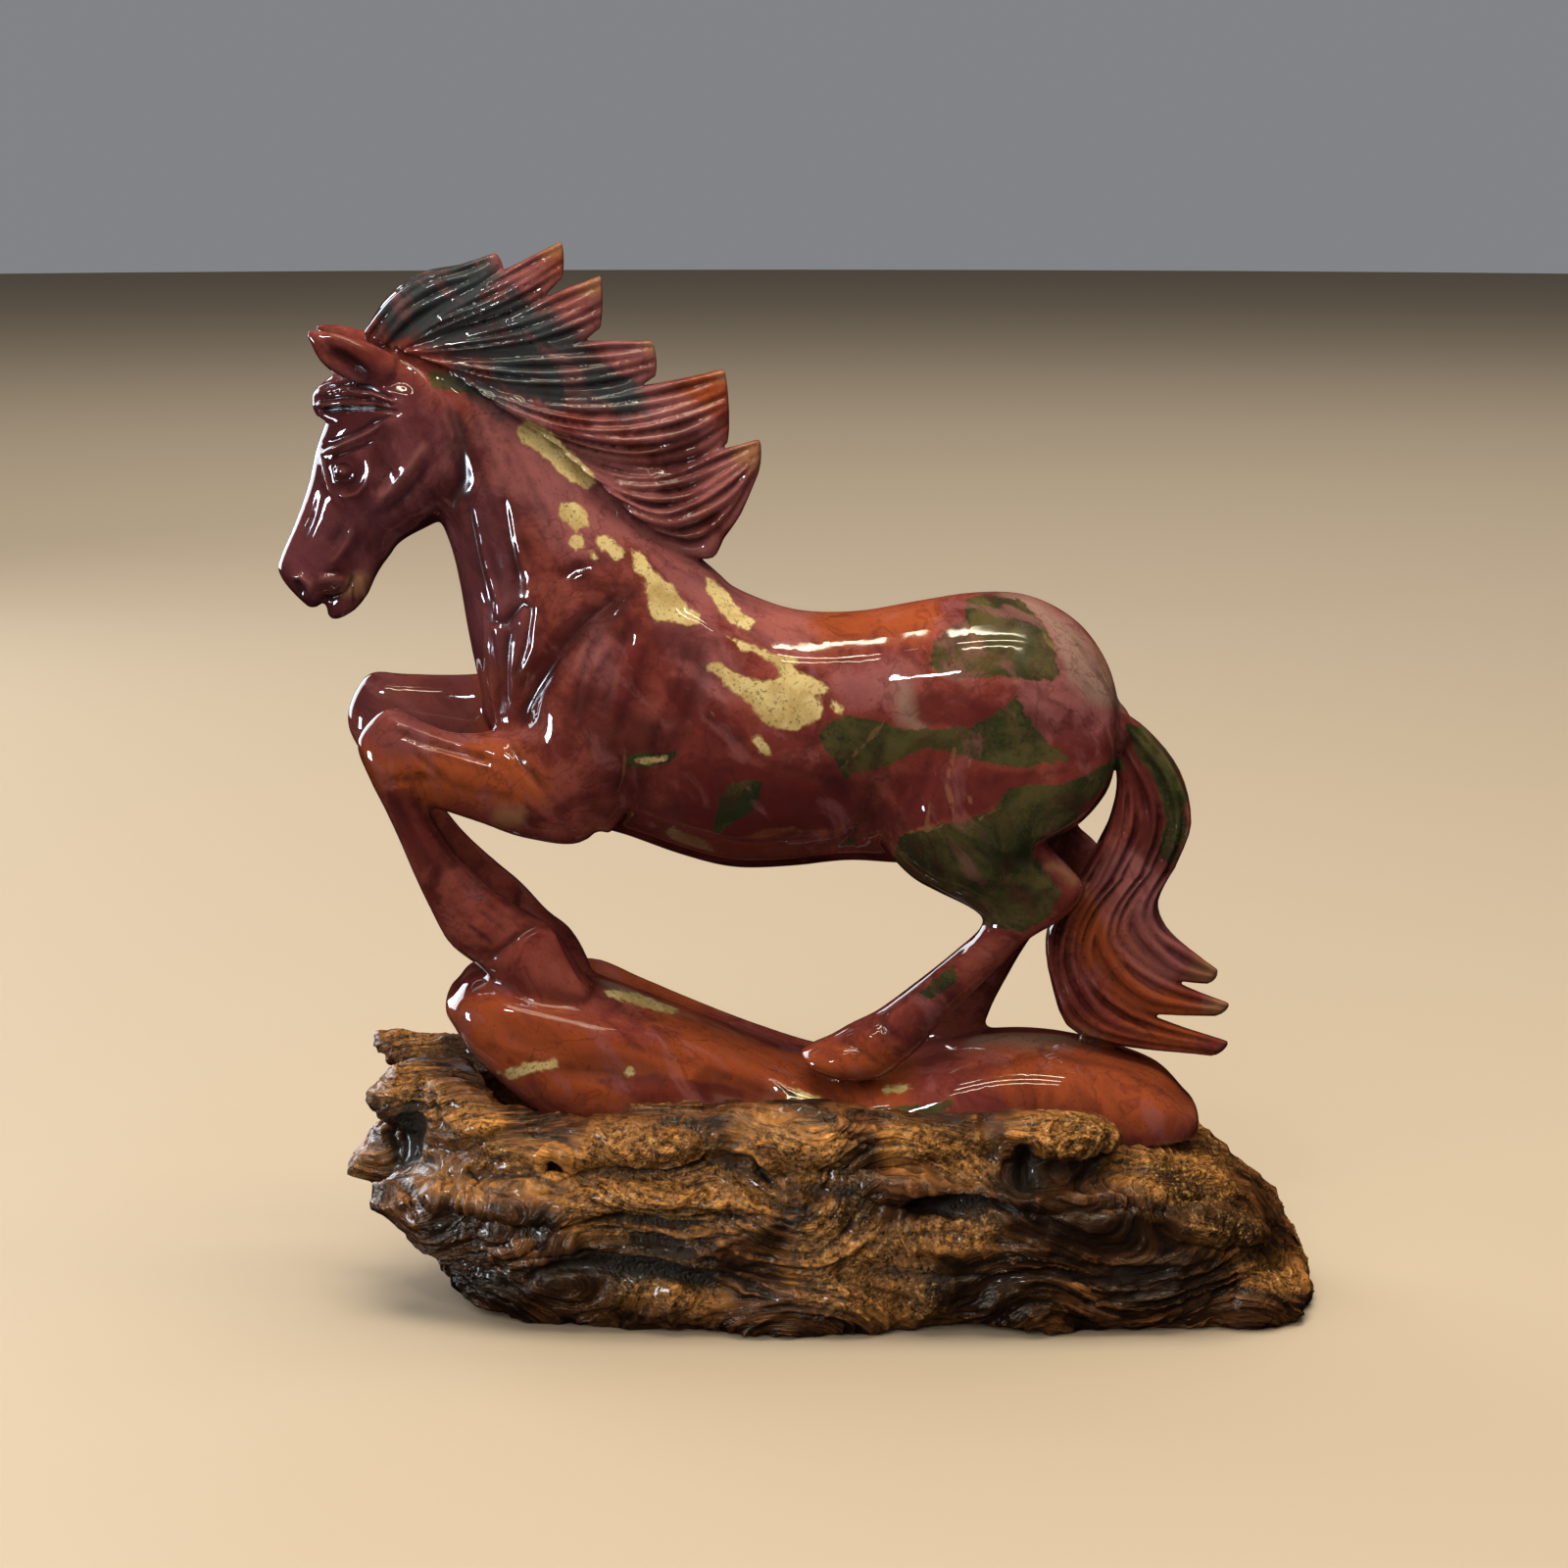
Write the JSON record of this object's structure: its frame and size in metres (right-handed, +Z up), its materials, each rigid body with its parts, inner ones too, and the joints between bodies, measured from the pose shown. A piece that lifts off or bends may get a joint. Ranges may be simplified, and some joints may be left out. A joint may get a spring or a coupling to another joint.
{
  "type": "stone horse figurine on a wood stand",
  "caption": "Carved polished stone horse leaping over its rock ledge with flying mane and tail, resting in a pocketed stand of gnarled root wood.",
  "frame": {"origin": "centre of the overall bounding box in plan, on the table plane that the stand rests on", "axes": "+X from the horse's head towards its tail, -Y towards the side that the picture shows, +Z up"},
  "size_m": [0.2648, 0.0914, 0.2708],
  "materials": {
    "polished_stone": "highly polished, red-brown with green and cream patches",
    "root_wood": "dark brown gloss lacquer over rough root grain"
  },
  "bodies": {
    "root": {"stone_horse": "polished_stone", "wood_stand": "root_wood"}
  },
  "joints": []
}
